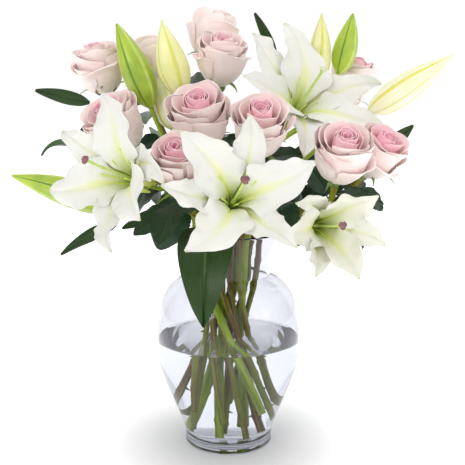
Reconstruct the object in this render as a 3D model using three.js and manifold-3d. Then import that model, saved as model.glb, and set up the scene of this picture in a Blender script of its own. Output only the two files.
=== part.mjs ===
// Lilies and roses in a clear glass vase, built as one arrangement of separate pieces.
//
// Units are millimetres and +Z is up. The origin is the centre of the vase's foot, on the surface that it
// stands on, and the arrangement's face looks towards -Y. Each grown piece is a loft: closed rings of points,
// all with the same number of points, skinned one to the next and capped at both ends.
import * as THREE from "three";
import { mergeVertices } from "three/addons/utils/BufferGeometryUtils.js";
import Module from "manifold-3d";

const wasm = await Module();
wasm.setup();

// ---------------------------------------------------------------- driving dimensions

const GAP = 0.4; // between two pieces that would touch

const VASE = {
  height: 225,
  wall: 3,
  floor: 11, // thickness of the glass under the water
  foot: { radius: 46, height: 12 },
  body: { radius: 77.5, height: 120 }, // the widest ring
  neck: { radius: 43.5, height: 181 }, // the narrowest ring above the shoulder
  rim: { radius: 56 },
  sides: 30,
};

const WATER_DEPTH = 102; // above the vase's floor

const STEM = {
  roseRadius: 3,
  lilyRadius: 3.8,
  pedicelRadius: 2.2,
  twist: 112, // degrees that the bundle turns between the vase's neck and the floor
  spread: 2.2, // how many times wider it would be down there, if the glass did not stop it
  sides: 10,
};

const LILY = {
  tepalThickness: 1.2,
  throat: 5, // radius at which the inner tepals leave the flower's axis
  whorlStep: 2.5, // how far outside the inner three the outer three start
  widestSpan: 50, // the most degrees round the axis that a tepal reaches each way
  pistilLength: 78,
};

const ROSE = { height: 58, radius: 30 };

const BUD = { lobe: 0.07 };

const LEAF_THICKNESS = 1;

// ---------------------------------------------------------------- where everything grows
// Places are [x, y, height above the vase's rim]. A facing is the way that a flower or bud points.
// slot is the stem's place in the bundle, from 0 at its middle outwards. A tepal is three angles: where it
// starts round its flower's axis, from the top and clockwise as its face is seen from behind, how far its tip
// bends round from there, and how much wider than its flower it opens.

const LILIES = [
  {
    slot: 12,
    fork: [-44, -20, 48],
    base: [-74, -72, 55],
    facing: [-0.58, -0.77, 0.28],
    length: 104,
    opens: 80,
    inner: [[0, 21, 0], [120, -15, 0], [240, -3, -20]],
    outer: [[60, 3, -15], [180, 24, -25], [300, -36, -25]],
  },
  {
    slot: 1,
    fork: [-42, 20, 52],
    base: [2, -100, 38],
    facing: [0.17, -0.92, 0.34],
    length: 96,
    opens: 76,
    inner: [[-83, 14, -3], [37, 5, -3], [157, -22, -10]],
    outer: [[-23, 11, 0], [97, -10, -30], [217, 2, -34]],
  },
  {
    slot: 3,
    fork: [46, 40, 84],
    base: [61, 38, 110],
    facing: [0.36, -0.75, 0.55],
    length: 116,
    opens: 74,
    inner: [[-19, 22, 4], [101, -14, -14], [221, 19, 2]],
    outer: [[41, -14, 2], [161, -5, -12], [281, -8, -18]],
  },
  {
    slot: 5,
    fork: [44, -8, 42],
    base: [78, -55, 15],
    facing: [0.34, -0.94, 0.06],
    length: 86,
    opens: 48,
    inner: [[87, 6, 6], [207, -12, -16], [327, -12, -21]],
    outer: [[27, 33, -14], [147, -3, -21], [267, -15, 29]],
  },
];

// Each bud names the lily whose stem it shares.
const BUDS = [
  { lily: 0, base: [-80, 15, 127], tip: [-113, 15, 210], radius: 15, green: true },
  { lily: 1, base: [-46, 2, 139], tip: [-66, 4, 210], radius: 16 },
  { lily: 2, base: [94, 74, 151], tip: [101, 72, 226], radius: 13 },
  { lily: 2, base: [120, 72, 165], tip: [136, 78, 229], radius: 13, green: true },
  { lily: 3, base: [144, 10, 122], tip: [220, -10, 176], radius: 14 },
  { lily: 0, base: [-115, -10, 25], tip: [-220, -5, 58], radius: 15, green: true },
  { lily: 1, base: [-59, 26, 106], tip: [-72, 40, 162], radius: 12 },
];

// A rose's place is the middle of its bloom.
const ROSES = [
  { slot: 6, at: [-18, 72, 203], facing: [0.05, 0.25, 0.97], size: 0.95 },
  { slot: 0, at: [-7, 24, 174], facing: [0.08, -0.45, 0.89], size: 0.98 },
  { slot: 14, at: [-82, 66, 176], facing: [-0.05, 0.1, 0.99], size: 0.95 },
  { slot: 9, at: [-135, 41, 166], facing: [-0.2, -0.3, 0.93], size: 0.98 },
  { slot: 4, at: [-111, -10, 107], facing: [-0.42, -0.5, 0.76], size: 1.05 },
  { slot: 2, at: [-27, -38, 113], facing: [-0.08, -0.58, 0.81], size: 1.08 },
  { slot: 7, at: [-45, -92, 75], facing: [-0.05, -0.64, 0.77], size: 0.88 },
  { slot: 10, at: [30, -60, 104], facing: [0.02, -0.6, 0.8], size: 1.05 },
  { slot: 13, at: [105, -70, 80], facing: [0.1, -0.6, 0.8], size: 1 },
  { slot: 8, at: [146, -28, 80], facing: [0.42, -0.5, 0.76], size: 0.92 },
  { slot: 11, at: [140, 110, 156], facing: [0.2, -0.1, 0.97], size: 1.05 },
];

// A leaf leaves its base along "out" and bends towards "bend" by that many degrees over its length. The first
// one hangs over the vase's rim.
const LEAVES = [
  {
    base: [-17, 19 - VASE.rim.radius, 4],
    out: [-0.05, -1, 0.2],
    bend: [0, 0, -1],
    turn: 104,
    length: 142,
    width: 52,
  },
  { base: [-130, -50, 130], out: [-1, -0.1, 0.25], bend: [0, -1, -0.1], turn: 20, length: 50, width: 13 },
  { base: [-142, -38, 86], out: [-1, -0.1, 0.5], bend: [0, -0.55, -0.85], turn: 80, length: 50, width: 13 },
  { base: [-47, -36, 39], out: [-0.35, -0.4, -0.85], bend: [0, -1, 0], turn: 30, length: 52, width: 38 },
  { base: [-112, -24, 10], out: [-0.9, -0.3, -0.25], bend: [0, -0.8, -0.6], turn: 40, length: 58, width: 18 },
  { base: [50, 38, 178], out: [-0.4, 0, 0.9], bend: [-0.5, -1, 0], turn: 15, length: 50, width: 11 },
  { base: [160, 34, 74], out: [0.7, -0.1, 0.75], bend: [0.2, -1, 0], turn: 15, length: 48, width: 17 },
  { base: [50, -38, 52], out: [0.1, -0.3, -0.95], bend: [0, -1, 0], turn: 20, length: 48, width: 32 },
];

// ---------------------------------------------------------------- vectors and curves

const UP = new THREE.Vector3(0, 0, 1);

const vector = (xyz) => new THREE.Vector3(...xyz);

const direction = (xyz) => vector(xyz).normalize();

const aboveRim = ([x, y, up]) => new THREE.Vector3(x, y, VASE.height + up);

// Rises from 0 to 1 between two values, with level ends.
const ramp = THREE.MathUtils.smoothstep;

// A point moved by some amounts along some directions.
function moved(point, ...steps) {
  const made = point.clone();
  for (const [way, distance] of steps) made.addScaledVector(way, distance);
  return made;
}

// Unit vectors across a facing: up is the one nearest to vertical, and side completes a right-handed set.
function across(facing) {
  const up = moved(UP, [facing, -facing.dot(UP)]).normalize();
  return { up, side: new THREE.Vector3().crossVectors(facing, up) };
}

function smoothPath(points, divisions) {
  return new THREE.CatmullRomCurve3(points, false, "centripetal").getSpacedPoints(divisions);
}

// ---------------------------------------------------------------- lofts

// Skins closed rings into one closed solid. Rings run anticlockwise seen from the far end.
function loft(rings) {
  const size = rings[0].length;
  const index = [];
  for (let i = 0; i + 1 < rings.length; i++) {
    for (let k = 0; k < size; k++) {
      const a = i * size + k;
      const b = i * size + ((k + 1) % size);
      index.push(a, b, b + size, a, b + size, a + size);
    }
  }
  const last = (rings.length - 1) * size;
  // A cap goes back and forth between the ring's two sides, which suits a flat strip as well as a circle.
  for (let k = 0; k + 1 < size / 2; k++) {
    const [a, b, c, d] = [k, k + 1, size - 2 - k, size - 1 - k];
    index.push(a, c, b, a, d, c);
    index.push(last + a, last + b, last + c, last + a, last + c, last + d);
  }
  const geometry = new THREE.BufferGeometry().setFromPoints(rings.flat());
  geometry.setIndex(index);
  return geometry;
}

// Rings of radius(i, k) round a line of points, turned as little as possible from one to the next.
function ringsRound(points, radius, sides = STEM.sides) {
  const normal = new THREE.Vector3(1, 0, 0);
  return points.map((point, i) => {
    const before = points[Math.max(i - 1, 0)];
    const after = points[Math.min(i + 1, points.length - 1)];
    const along = new THREE.Vector3().subVectors(after, before).normalize();
    normal.addScaledVector(along, -normal.dot(along)).normalize();
    const third = new THREE.Vector3().crossVectors(along, normal);
    return Array.from({ length: sides }, (_, k) => {
      const angle = (2 * Math.PI * k) / sides;
      const r = radius(i, k);
      return moved(point, [normal, r * Math.cos(angle)], [third, r * Math.sin(angle)]);
    });
  });
}

// Rings of a thin blade, such as a tepal or a leaf. It starts at origin along "along", bends towards "bend"
// in the plane of the two by angle(s) degrees, and its edges lift off that plane by cup(s) of its half width.
function bladeRings({ origin, along, bend, length, halfWidth, angle, cup, thickness, stations, columns }) {
  const side = new THREE.Vector3().crossVectors(bend, along).normalize();
  const step = length / (stations - 1);
  const point = origin.clone();
  const rings = [];
  for (let i = 0; i < stations; i++) {
    const s = i / (stations - 1);
    const turned = THREE.MathUtils.degToRad(angle(s));
    const forward = moved(new THREE.Vector3(), [along, Math.cos(turned)], [bend, Math.sin(turned)]);
    const face = moved(new THREE.Vector3(), [along, Math.sin(turned)], [bend, -Math.cos(turned)]);
    const upper = [];
    const lower = [];
    for (let k = 0; k < columns; k++) {
      const t = (2 * k) / (columns - 1) - 1;
      const half = halfWidth(s);
      const lift = cup(s) * half * t * t;
      const skin = (thickness / 2) * (1 - 0.55 * t * t);
      upper.push(moved(point, [side, t * half], [face, lift + skin]));
      lower.push(moved(point, [side, t * half], [face, lift - skin]));
    }
    rings.push([...upper, ...lower.reverse()]);
    point.addScaledVector(forward, step);
  }
  return rings;
}

// ---------------------------------------------------------------- solids from manifold-3d

function solidOf(geometry) {
  const bare = new THREE.BufferGeometry();
  bare.setAttribute("position", geometry.getAttribute("position"));
  bare.setIndex(geometry.getIndex());
  const merged = mergeVertices(bare, 1e-4);
  return new wasm.Manifold(
    new wasm.Mesh({
      numProp: 3,
      vertProperties: merged.attributes.position.array,
      triVerts: new Uint32Array(merged.index.array),
    }),
  );
}

function geometryOf(solid) {
  const mesh = solid.getMesh();
  const geometry = new THREE.BufferGeometry();
  geometry.setAttribute("position", new THREE.BufferAttribute(mesh.vertProperties, 3));
  geometry.setIndex(new THREE.BufferAttribute(mesh.triVerts, 1));
  return geometry;
}

// ---------------------------------------------------------------- materials

function plant(color, roughness) {
  return new THREE.MeshStandardMaterial({ color, roughness, side: THREE.DoubleSide });
}

function clear(color, roughness) {
  return new THREE.MeshStandardMaterial({ color, roughness, transparent: true, opacity: 0.3 });
}

const GLASS = clear(0xe8eef2, 0.03);
const LIQUID = clear(0xdde8ee, 0.02);
const WHITE_PETAL = plant(0xf4f3ea, 0.55);
const PINK_PETAL = plant(0xf2c6cd, 0.6);
const GREEN_BUD = plant(0xb9cf3a, 0.45);
const PALE_BUD = plant(0xe9e9b4, 0.5);
const LILY_STEM = plant(0x6d9a35, 0.5);
const PISTIL_GREEN = plant(0xa9c23d, 0.45);
const LEAF_GREEN = plant(0x24431f, 0.42);

const parts = new THREE.Group();

function add(name, geometry, material) {
  const mesh = new THREE.Mesh(geometry, material);
  mesh.name = name;
  parts.add(mesh);
  return mesh;
}

// ---------------------------------------------------------------- vase and water

// The vase's outside, from the foot's edge to the rim, as radius against height.
function vaseOutline() {
  const { foot, body, neck, rim } = VASE;
  const taper = body.height - foot.height;
  const shoulder = neck.height - body.height;
  const flare = VASE.height - neck.height;
  const outline = new THREE.Path();
  outline.moveTo(foot.radius, 0);
  outline.lineTo(foot.radius, foot.height);
  outline.bezierCurveTo(
    foot.radius + 0.055 * taper, foot.height + 0.26 * taper,
    body.radius, body.height - 0.42 * taper,
    body.radius, body.height,
  );
  outline.bezierCurveTo(
    body.radius, body.height + 0.62 * shoulder,
    neck.radius + 18, neck.height - 8,
    neck.radius, neck.height,
  );
  outline.bezierCurveTo(
    neck.radius + 0.5, neck.height + 0.4 * flare,
    rim.radius - 4, VASE.height - 0.3 * flare,
    rim.radius, VASE.height,
  );
  return outline.getPoints(6);
}

// The same outline moved inwards by a distance. It is kept above the glass floor by as much as that distance
// is more than the wall.
function insideOutline(inset) {
  const outline = vaseOutline();
  const floor = VASE.floor + inset - VASE.wall;
  const inside = outline.map((point, i) => {
    const before = outline[Math.max(i - 1, 0)];
    const after = outline[Math.min(i + 1, outline.length - 1)];
    const slope = new THREE.Vector2().subVectors(after, before).normalize();
    return new THREE.Vector2(point.x - inset * slope.y, point.y + inset * slope.x);
  });
  const above = inside.filter((point) => point.y > floor + 1);
  return [new THREE.Vector2(above[0].x - 1, floor), ...above];
}

// The inside radius of the vase at a height.
function insideRadius(height) {
  const outline = insideOutline(VASE.wall);
  const next = Math.max(outline.findIndex((point) => point.y >= height), 1);
  const [a, b] = [outline[next - 1], outline[next]];
  return THREE.MathUtils.mapLinear(height, a.y, b.y, a.x, b.x);
}

function lathe(outline) {
  const geometry = new THREE.LatheGeometry(outline, VASE.sides);
  return geometry.rotateX(Math.PI / 2);
}

function vaseGeometry() {
  const outside = vaseOutline();
  const inside = insideOutline(VASE.wall).filter((point) => point.y < VASE.height - 1);
  const lip = new THREE.Vector2(VASE.rim.radius - VASE.wall / 2, VASE.height + VASE.wall / 3);
  const lipInside = new THREE.Vector2(VASE.rim.radius - VASE.wall, VASE.height);
  return lathe([
    new THREE.Vector2(0, 0),
    new THREE.Vector2(VASE.foot.radius - 1.5, 0),
    new THREE.Vector2(VASE.foot.radius, 1.5),
    ...outside.slice(1),
    lip,
    lipInside,
    ...inside.reverse(),
    new THREE.Vector2(0, VASE.floor),
  ]);
}

function waterGeometry(stems) {
  const level = VASE.floor + WATER_DEPTH;
  const under = insideOutline(VASE.wall + GAP).filter((point) => point.y < level - 2);
  const filled = lathe([
    new THREE.Vector2(0, under[0].y),
    ...under,
    new THREE.Vector2(insideRadius(level) - GAP, level),
    new THREE.Vector2(0, level),
  ]);
  let water = solidOf(filled);
  for (const stem of stems) water = water.subtract(solidOf(stem));
  return geometryOf(water);
}

// ---------------------------------------------------------------- stems

// Where the stem in a slot stands at a height. The slots are a sunflower's spiral across the vase's neck.
// Below it each stem is straight, to the same spiral turned and spread out on the floor. Every height then
// holds the same spiral, only turned and scaled, so no stem meets another on its way down.
function inBundle(slot, height) {
  const golden = Math.PI * (3 - Math.sqrt(5));
  const below = Math.max(0, 1 - height / VASE.neck.height);
  const above = Math.max(0, height / VASE.neck.height - 1);
  const bound = (insideRadius(VASE.neck.height) - 2 * STEM.lilyRadius) * (1 + above);
  const r = bound * 0.93 * Math.sqrt((slot + 0.5) / (LILIES.length + ROSES.length));
  const atNeck = new THREE.Vector2(r, 0).rotateAround(new THREE.Vector2(), slot * golden);
  const turn = THREE.MathUtils.degToRad(STEM.twist);
  const onFloor = atNeck.clone().multiplyScalar(STEM.spread).rotateAround(new THREE.Vector2(), turn);
  const place = atNeck.lerp(onFloor, below);
  return new THREE.Vector3(place.x, place.y, height);
}

// The height of a stem's cut end, which stands on the vase's floor or leans on its side.
function cutHeight(slot) {
  const clearance = 2 * STEM.lilyRadius;
  let height = VASE.floor + 4;
  const distance = () => {
    const { x, y } = inBundle(slot, height);
    return Math.hypot(x, y);
  };
  while (distance() > insideRadius(height) - clearance) height += 1;
  return height;
}

// A stem's line from its cut end to "top", which it reaches along "facing".
function stemLine(slot, top, facing, lead, divisions) {
  const heights = [cutHeight(slot), 0.5 * VASE.neck.height, VASE.neck.height, VASE.height];
  const points = heights.map((height) => inBundle(slot, height));
  return smoothPath([...points, moved(top, [facing, -lead]), top], divisions);
}

function tube(points, radius, sides = 8) {
  return loft(ringsRound(points, () => radius, sides));
}

const submerged = []; // each stem a little fatter, to cut out of the water

function submerge(line, radius) {
  submerged.push(tube(line, radius + GAP, 8));
}

// ---------------------------------------------------------------- lilies

// The six tepals of an open lily: three wide inner ones, and three narrow outer ones set behind them. Each
// whorl lies on one trumpet, a surface turned about the flower's axis, and its tepals are patches of that.
function tepalRings(lily, [azimuth, sweep, wider], isInner) {
  const facing = direction(lily.facing);
  const { up, side } = across(facing);
  const behind = isInner ? 0 : LILY.whorlStep;
  const widest = lily.length * (isInner ? 0.215 : 0.155);
  const opens = lily.opens + (isInner ? 0 : 6);
  const stations = 9;
  const columns = 4;
  const step = (lily.length * (isInner ? 1 : 0.97)) / (stations - 1);
  const rings = [];
  let radius = LILY.throat + behind;
  let height = 1 - behind;
  for (let i = 0; i < stations; i++) {
    const s = i / (stations - 1);
    const trumpet = 8 + (opens - 8) * ramp(s, 0.04, 0.6);
    const flare = THREE.MathUtils.degToRad(trumpet + wider * ramp(s, 0.25, 0.65) + 34 * ramp(s, 0.66, 1));
    const half = 3 * (1 - s) + 1 + (widest - 1) * Math.sin(Math.PI * s ** 0.85) ** 0.9;
    const span = Math.min(half / radius, THREE.MathUtils.degToRad(LILY.widestSpan));
    const skins = [[], []];
    for (let k = 0; k < columns; k++) {
      const t = (2 * k) / (columns - 1) - 1;
      const angle = THREE.MathUtils.degToRad(azimuth + sweep * s * s) + t * span;
      const skin = (LILY.tepalThickness / 2) * (1 - 0.55 * t * t);
      [skin, -skin].forEach((lift, n) => {
        const r = radius - lift * Math.cos(flare);
        skins[n].push(
          moved(
            aboveRim(lily.base),
            [facing, height + lift * Math.sin(flare)],
            [up, r * Math.cos(angle)],
            [side, r * Math.sin(angle)],
          ),
        );
      });
    }
    rings.push([...skins[1], ...skins[0].reverse()]);
    radius += step * Math.sin(flare);
    height += step * Math.cos(flare);
  }
  return rings;
}

function pistilRings(lily) {
  const facing = direction(lily.facing);
  const { up } = across(facing);
  const start = moved(aboveRim(lily.base), [facing, 1]);
  const ovary = [[0, 2.4], [0.06, 3], [0.26, 2.8]];
  const style = [[0.32, 1.3], [0.65, 1.1], [0.93, 1.3]];
  const stigma = [[0.96, 3.6], [1, 3]];
  const shape = [...ovary, ...style, ...stigma];
  const scale = lily.length / LILIES[0].length;
  const points = shape.map(([s]) =>
    moved(start, [facing, s * scale * LILY.pistilLength], [up, 4 * s * s]),
  );
  return ringsRound(points, (i) => shape[i][1], 6);
}

// A bud, as how far along it each ring is and that ring's share of the bud's radius.
function budRings({ base, tip, radius }) {
  const from = aboveRim(base);
  const to = aboveRim(tip);
  const foot = [[0, 0.24], [0.05, 0.5], [0.16, 0.84], [0.32, 1]];
  const point = [[0.5, 0.95], [0.68, 0.74], [0.84, 0.44], [1, 0.08]];
  const shape = [...foot, ...point];
  const points = shape.map(([s]) => new THREE.Vector3().lerpVectors(from, to, s));
  const lobed = (k) => 1 + BUD.lobe * Math.cos((3 * 2 * Math.PI * k) / 12);
  return ringsRound(points, (i, k) => radius * shape[i][1] * lobed(k), 12);
}

// One lily stem with its flower's and its buds' stalks.
function lilyStemGeometry(lily, number) {
  const fork = aboveRim(lily.fork);
  const main = stemLine(lily.slot, fork, direction([lily.fork[0], lily.fork[1], 120]), 20, 15);
  submerge(main, STEM.lilyRadius);
  const ends = [{ end: aboveRim(lily.base), facing: direction(lily.facing), radius: 3.2 }];
  for (const bud of BUDS.filter((one) => one.lily === number)) {
    const end = aboveRim(bud.base);
    const toTip = new THREE.Vector3().subVectors(aboveRim(bud.tip), end).normalize();
    ends.push({ end, facing: toTip, radius: 2.4 });
  }
  let solid = solidOf(tube(main, STEM.lilyRadius));
  const inside = main[main.length - 2];
  for (const { end, facing, radius } of ends) {
    const reach = 0.35 * fork.distanceTo(end);
    const approach = [moved(end, [facing, -reach]), moved(end, [facing, -GAP])];
    const line = smoothPath([inside, fork, ...approach], 9);
    const last = line.length - 1;
    const swell = (i) => STEM.pedicelRadius + (radius - STEM.pedicelRadius) * ramp(i, last - 2, last);
    solid = solid.add(solidOf(loft(ringsRound(line, swell, 7))));
  }
  return geometryOf(solid);
}

// ---------------------------------------------------------------- roses

// One rose: a stem that swells into a hip and then the bloom, whose outline is that of its outer petals.
function roseGeometry(rose) {
  const facing = direction(rose.facing);
  const height = ROSE.height * rose.size;
  const middle = aboveRim(rose.at);
  const hip = moved(middle, [facing, -height / 2]);
  const line = stemLine(rose.slot, hip, facing, 26, 11);
  submerge(line, STEM.roseRadius);
  const cup = [[0.05, 0.3], [0.14, 0.66], [0.3, 0.93], [0.52, 1]];
  const mouth = [[0.74, 0.96], [0.92, 0.86], [1, 0.7], [0.93, 0.2]];
  const bloom = [...cup, ...mouth];
  const points = [...line, ...bloom.map(([s]) => moved(hip, [facing, s * height]))];
  const radius = ROSE.radius * rose.size;
  const widths = [...line.map(() => STEM.roseRadius), ...bloom.map(([, share]) => share * radius)];
  const petalled = (i, k) => (i >= line.length ? 1 + 0.045 * (k % 2 === 0 ? 1 : -1) : 1);
  return loft(ringsRound(points, (i, k) => widths[i] * petalled(i, k), STEM.sides));
}

// ---------------------------------------------------------------- leaves

function leafGeometry(leaf) {
  return loft(
    bladeRings({
      origin: aboveRim(leaf.base),
      along: direction(leaf.out),
      bend: direction(leaf.bend),
      length: leaf.length,
      halfWidth: (s) => 1.2 + (leaf.width / 2 - 1.2) * Math.sin(Math.PI * s ** 0.8) ** 0.85,
      angle: (s) => leaf.turn * s,
      cup: () => 0.12,
      thickness: LEAF_THICKNESS,
      stations: 9,
      columns: 4,
    }),
  );
}

// ---------------------------------------------------------------- the arrangement

add("vase", vaseGeometry(), GLASS);

LILIES.forEach((lily, number) => {
  const name = `lily_${number + 1}`;
  add(`${name}_stem`, lilyStemGeometry(lily, number), LILY_STEM);
  add(`${name}_pistil`, loft(pistilRings(lily)), PISTIL_GREEN);
  lily.inner.forEach((angles, i) => {
    add(`${name}_inner_tepal_${i + 1}`, loft(tepalRings(lily, angles, true)), WHITE_PETAL);
  });
  lily.outer.forEach((angles, i) => {
    add(`${name}_outer_tepal_${i + 1}`, loft(tepalRings(lily, angles, false)), WHITE_PETAL);
  });
});

BUDS.forEach((bud, i) => {
  add(`lily_bud_${i + 1}`, loft(budRings(bud)), bud.green ? GREEN_BUD : PALE_BUD);
});

ROSES.forEach((rose, i) => {
  add(`rose_${i + 1}`, roseGeometry(rose), PINK_PETAL);
});

LEAVES.forEach((leaf, i) => {
  add(`leaf_${i + 1}`, leafGeometry(leaf), LEAF_GREEN);
});

add("water", waterGeometry(submerged), LIQUID);

export default parts;
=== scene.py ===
"""Lilies and roses in a clear glass vase: the looks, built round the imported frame.

Lengths are metres, +Z is up, and the arrangement faces -Y. Every piece takes its place and size from its own
CAD node: a lofted node is read back as its rings of points, and the fine surface is drawn through them.
"""
import math
import random

import bpy
import numpy as np
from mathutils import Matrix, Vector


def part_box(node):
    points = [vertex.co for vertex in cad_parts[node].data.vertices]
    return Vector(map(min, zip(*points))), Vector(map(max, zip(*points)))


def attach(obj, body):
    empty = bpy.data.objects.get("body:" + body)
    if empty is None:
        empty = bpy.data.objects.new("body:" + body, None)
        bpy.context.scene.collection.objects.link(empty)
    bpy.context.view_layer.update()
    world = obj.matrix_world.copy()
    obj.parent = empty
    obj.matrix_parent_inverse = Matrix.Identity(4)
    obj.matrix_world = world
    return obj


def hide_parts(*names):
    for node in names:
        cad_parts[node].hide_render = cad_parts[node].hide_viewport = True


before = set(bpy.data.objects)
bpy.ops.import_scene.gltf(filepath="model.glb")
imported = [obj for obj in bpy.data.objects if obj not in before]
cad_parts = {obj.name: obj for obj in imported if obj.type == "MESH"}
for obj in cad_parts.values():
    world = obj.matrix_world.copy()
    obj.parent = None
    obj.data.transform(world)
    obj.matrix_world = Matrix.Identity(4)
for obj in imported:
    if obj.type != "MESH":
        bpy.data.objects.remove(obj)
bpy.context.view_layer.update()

MM = 0.001
TURN = 6.28  # about a whole turn, in radians
FIFTH_TURN = 1.2566
THIRD_TURN = 2.1
GOLDEN_ANGLE = math.pi * (3 - math.sqrt(5))
UP = np.array([0.0, 0.0, 1.0])
FRONT = np.array([0.0, -1.0, 0.0])

LILIES = range(1, 5)
CREAM_LILY = 4
PALE_STIGMA_LILY = 3
BUDS = range(1, 8)
GREEN_BUDS = (1, 4, 6)
CREAM_BUDS = (5, 7)
LILY_OF_BUD = {1: 1, 2: 2, 3: 3, 4: 3, 5: 4, 6: 1, 7: 2}
ROSES = range(1, 12)
PALE_ROSES = (1, 2, 3, 4)
DEEP_ROSES = (10, 11)
SNUG_ROSES = (8, 11)  # with little room round them
LEAVES = range(1, 9)
ROSE_LEAVES = (4, 8)  # those that come from a rose

# ---------------------------------------------------------------- numbers and vectors


def unit(v):
    return v / np.maximum(np.linalg.norm(v, axis=-1, keepdims=True), 1e-12)


def ramp(x, low, high):
    """Rises from 0 to 1 between low and high, with level ends."""
    t = np.clip((x - low) / (high - low), 0, 1)
    return t * t * (3 - 2 * t)


def mix(a, b, t):
    return a + (b - a) * t


def curve(a, b, c, d, f):
    """The value at a share f of the way from b to c, on a smooth curve through a, b, c and d."""
    return 0.5 * (2 * b + (c - a) * f + (2 * a - 5 * b + 4 * c - d) * f**2 + (3 * b - 3 * c + d - a) * f**3)


def resampled(values, count):
    """That many rows on a smooth curve through the given rows."""
    values = np.asarray(values, float)
    last = len(values) - 1
    t = np.linspace(0, last, count)
    i = np.minimum(t.astype(int), last - 1)
    f = (t - i).reshape(-1, *[1] * (values.ndim - 1))
    return curve(*(values[np.clip(i + k, 0, last)] for k in (-1, 0, 1, 2)), f)


def refined(grid, rows, cols):
    """A finer grid on the smooth surface through a grid of points."""
    return resampled(resampled(grid, rows).transpose(1, 0, 2), cols).transpose(1, 0, 2)


def distances(path):
    """How far along a path each of its points is."""
    return np.concatenate([[0], np.cumsum(np.linalg.norm(np.diff(path, axis=0), axis=1))])


def bent_line(start, step, bend, along, toward):
    """A line of equal steps from start, whose direction turns from along to toward by the angles in bend."""
    ways = np.cos(bend[1:, None]) * along + np.sin(bend[1:, None]) * toward
    return start + np.concatenate([np.zeros((1, 3)), np.cumsum(step * ways, axis=0)])


def across(axis, near=UP):
    """Two unit vectors across an axis, the first as near as it can be to a given one."""
    axis = unit(np.asarray(axis, float))
    if abs(axis @ near) > 0.98:
        near = FRONT
    first = unit(near - axis * (axis @ near))
    return first, np.cross(axis, first)


def spoke(first, second, angle):
    """The unit vector at an angle from first toward second."""
    return first * math.cos(angle) + second * math.sin(angle)


# ---------------------------------------------------------------- reading the CAD nodes


def welded(node):
    """A CAD node's distinct points, and for each one the set of points that it shares an edge with."""
    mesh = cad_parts[node].data
    coords = np.empty(len(mesh.vertices) * 3)
    mesh.vertices.foreach_get("co", coords)
    corners = np.empty(len(mesh.loops), int)
    mesh.loops.foreach_get("vertex_index", corners)
    points, merged = np.unique(np.round(coords.reshape(-1, 3), 6), axis=0, return_inverse=True)
    neighbours = [set() for _ in points]
    for triangle in merged.ravel()[corners].reshape(-1, 3):
        for a in triangle:
            neighbours[a].update(int(b) for b in triangle if b != a)
    return points, neighbours


def walk(node, size, start):
    """The rings of points of a lofted node, from the end nearest to start, while each has that many points.
    The first ring is either the points nearest to start or the least far in, whichever leads further."""
    points, neighbours = welded(node)
    near = np.argsort(np.linalg.norm(points - start, axis=1))
    inward = unit(points[near[: 3 * size]].mean(axis=0) - points[near[0]])
    best = []
    least_far_in = near[: 3 * size][np.argsort(points[near[: 3 * size]] @ inward)]
    for order in (near, least_far_in):
        ring = set(order[:size].tolist())
        seen = set()
        rings = []
        while len(ring) == size:
            rings.append(points[sorted(ring)])
            seen |= ring
            ring = set().union(*(neighbours[i] for i in ring)) - seen
        best = max(best, rings, key=len)
    return best


def far_ends(points):
    """The two points of a long node that are furthest apart."""
    first = points[np.argmax(np.linalg.norm(points - points[0], axis=1))]
    second = points[np.argmax(np.linalg.norm(points - first, axis=1))]
    return first, second


def from_tip(node, size):
    """A lofted node's rings, from its thick end to its thin one."""
    points, _ = welded(node)

    def thickness(end):
        return np.sort(np.linalg.norm(points - end, axis=1))[:size].mean()

    tip = min(far_ends(points), key=thickness)
    return walk(node, size, tip)[::-1]


def centres(rings):
    return np.array([ring.mean(axis=0) for ring in rings])


def radii(rings):
    return np.array([np.linalg.norm(ring - ring.mean(axis=0), axis=1).mean() for ring in rings])


def blade_grid(node, faces):
    """The middle surface of a thin lofted blade, as rows of points from its base to its tip. The rows run so
    that the blade's upper side looks the way that faces points."""
    rows = []
    side = None
    for ring in from_tip(node, 8):
        gaps = np.linalg.norm(ring[:, None] - ring[None], axis=2)
        a, b = np.unravel_index(gaps.argmax(), gaps.shape)
        way = unit(ring[b] - ring[a])
        side = way if side is None or way @ side > 0 else -way
        row = ring[np.argsort(ring @ side)]
        rows.append((row[0::2] + row[1::2]) / 2)
    grid = np.array(rows)
    middle = len(grid) // 2
    along = grid[middle + 1].mean(axis=0) - grid[middle - 1].mean(axis=0)
    normal = np.cross(grid[middle][-1] - grid[middle][0], along)
    return grid if normal @ faces > 0 else grid[:, ::-1]


# ---------------------------------------------------------------- meshes

collection = bpy.context.scene.collection
UNDERSIDE = 10  # added to the tone of a sheet's under side


def make(name, verts, faces, data, smooth_under=60):
    """A mesh object with a vector at each point, named "place", for its material to read."""
    mesh = bpy.data.meshes.new(name)
    mesh.from_pydata(np.asarray(verts).tolist(), [], [tuple(int(i) for i in face) for face in faces])
    mesh.validate()
    mesh.shade_smooth()
    mesh.set_sharp_from_angle(angle=math.radians(smooth_under))
    place = mesh.attributes.new("place", "FLOAT_VECTOR", "POINT")
    place.data.foreach_set("vector", np.asarray(data, float).ravel())
    piece = bpy.data.objects.new(name, mesh)
    collection.objects.link(piece)
    return piece


class Build:
    """Gathers several closed surfaces into the mesh of one piece."""

    def __init__(self):
        self.verts, self.faces, self.data, self.count = [], [], [], 0

    def add(self, verts, faces, data):
        self.verts.append(np.asarray(verts, float))
        self.faces.extend(tuple(i + self.count for i in face) for face in faces)
        self.data.append(np.asarray(data, float))
        self.count += len(verts)

    def take(self, other):
        """Adds everything that another build holds."""
        self.verts += other.verts
        self.faces.extend(tuple(i + self.count for i in face) for face in other.faces)
        self.data += other.data
        self.count += other.count

    def piece(self, name, smooth_under=60):
        return make(name, np.concatenate(self.verts), self.faces, np.concatenate(self.data), smooth_under)


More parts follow.
